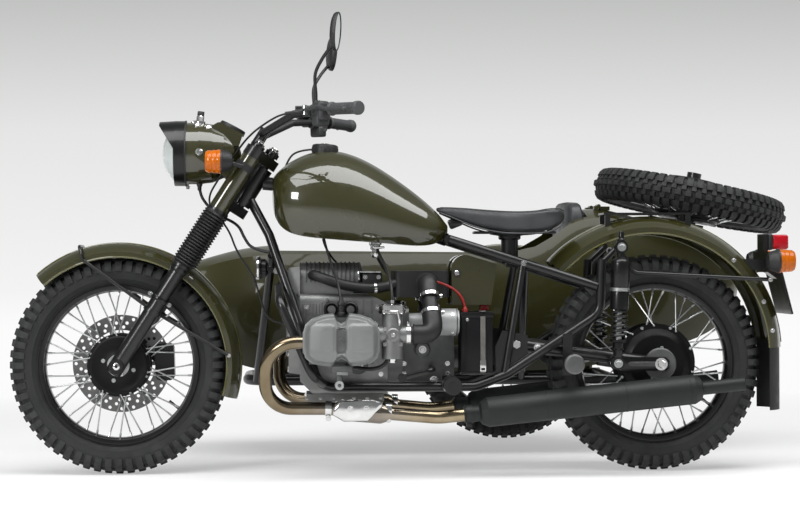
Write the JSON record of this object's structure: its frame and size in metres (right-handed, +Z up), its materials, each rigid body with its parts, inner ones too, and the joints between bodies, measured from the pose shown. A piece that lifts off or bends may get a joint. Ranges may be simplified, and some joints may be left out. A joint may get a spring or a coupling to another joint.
{
  "type": "sidecar motorcycle",
  "caption": "Olive motorcycle with a flat-twin engine, spoked wheels with block-tread tyres and a sidecar carrying a spare wheel on its boot lid.",
  "frame": {"origin": "on the ground under the middle of the whole vehicle's box", "axes": "+X to the rear of the vehicle, +Y to its right-hand side, where the sidecar is, +Z up"},
  "size_m": [2.5079, 1.6302, 1.3536],
  "materials": {
    "olive": "gloss",
    "black_steel": "satin",
    "cast_alloy": "satin",
    "starter_steel": "satin",
    "black_rubber": "matte",
    "steel_pipe": "polished",
    "silencer_black": "satin",
    "saddle_leather": "satin",
    "battery_case": "matte",
    "lamp_plastic": "gloss",
    "lamp_glass": "gloss",
    "black_plastic": "satin",
    "brake_iron": "satin",
    "tyre_rubber": "matte",
    "wheel_black": "satin"
  },
  "bodies": {
    "chassis": {"frame": "black_steel", "engine_guards": "black_steel", "crankcase": "cast_alloy", "gearbox": "cast_alloy", "starter_motor": "starter_steel", "cylinders": "cast_alloy", "rocker_covers": "cast_alloy", "carburettors": "cast_alloy", "air_intake": "black_rubber", "exhaust_pipes": "steel_pipe", "silencers": "silencer_black", "fuel_tank": "olive", "saddle": "saddle_leather", "battery": "battery_case", "side_covers": "olive", "foot_rests": "black_steel", "foot_controls": "black_steel", "swing_arm": "black_steel", "shock_absorbers": "black_steel", "rear_fender": "olive", "rear_stays": "black_steel", "rear_carrier": "black_steel", "rear_lamp_bracket": "black_steel", "rear_lamps": "lamp_plastic", "mud_flap": "black_rubber", "sidecar_frame": "black_steel", "sidecar_body": "olive", "sidecar_seat_cushion": "saddle_leather", "sidecar_seat_back": "saddle_leather", "sidecar_suspension": "black_steel", "sidecar_fender": "olive", "sidecar_lamps": "lamp_plastic", "control_cables": "black_rubber", "engine_hoses": "black_rubber", "horn": "black_steel"},
    "steering": {"fork_legs": "black_steel", "fork_yokes": "black_steel", "fork_covers": "olive", "fork_gaiters": "black_rubber", "headlamp_shell": "olive", "headlamp_rim": "black_plastic", "headlamp_lens": "lamp_glass", "front_indicators": "lamp_plastic", "handlebar": "black_steel", "hand_controls": "black_plastic", "mirrors": "black_plastic", "front_fender": "olive", "front_fender_stays": "black_steel", "brake_caliper": "brake_iron"},
    "front_wheel": {"front_tyre": "tyre_rubber", "front_wheel": "wheel_black", "brake_disc": "brake_iron"},
    "rear_wheel": {"rear_tyre": "tyre_rubber", "rear_wheel": "wheel_black"},
    "sidecar_wheel": {"sidecar_tyre": "tyre_rubber", "sidecar_wheel": "wheel_black"},
    "boot_lid": {"boot_lid": "olive", "spare_carrier": "black_steel", "spare_tyre": "tyre_rubber", "spare_wheel": "wheel_black"}
  },
  "joints": [
    {"name": "steer", "type": "hinge", "parent": "chassis", "child": "steering", "pos_m": [-0.5653, -0.4209, 0.80873], "axis": [0.5388, 0, 0.8425], "range_deg": [-35, 35], "deforming": ["control_cables"]},
    {"name": "front_spin", "type": "hinge", "parent": "steering", "child": "front_wheel", "pos_m": [-0.92647, -0.4209, 0.3275], "axis": [0, 1, 0], "continuous": true},
    {"name": "rear_spin", "type": "hinge", "parent": "chassis", "child": "rear_wheel", "pos_m": [0.68753, -0.4209, 0.3275], "axis": [0, 1, 0], "continuous": true},
    {"name": "sidecar_spin", "type": "hinge", "parent": "chassis", "child": "sidecar_wheel", "pos_m": [0.35153, 0.7191, 0.3275], "axis": [0, 1, 0], "continuous": true},
    {"name": "boot_hinge", "type": "hinge", "parent": "chassis", "child": "boot_lid", "pos_m": [0.60753, 0.2391, 0.81848], "axis": [0, -1, 0], "range_deg": [0, 50]}
  ]
}
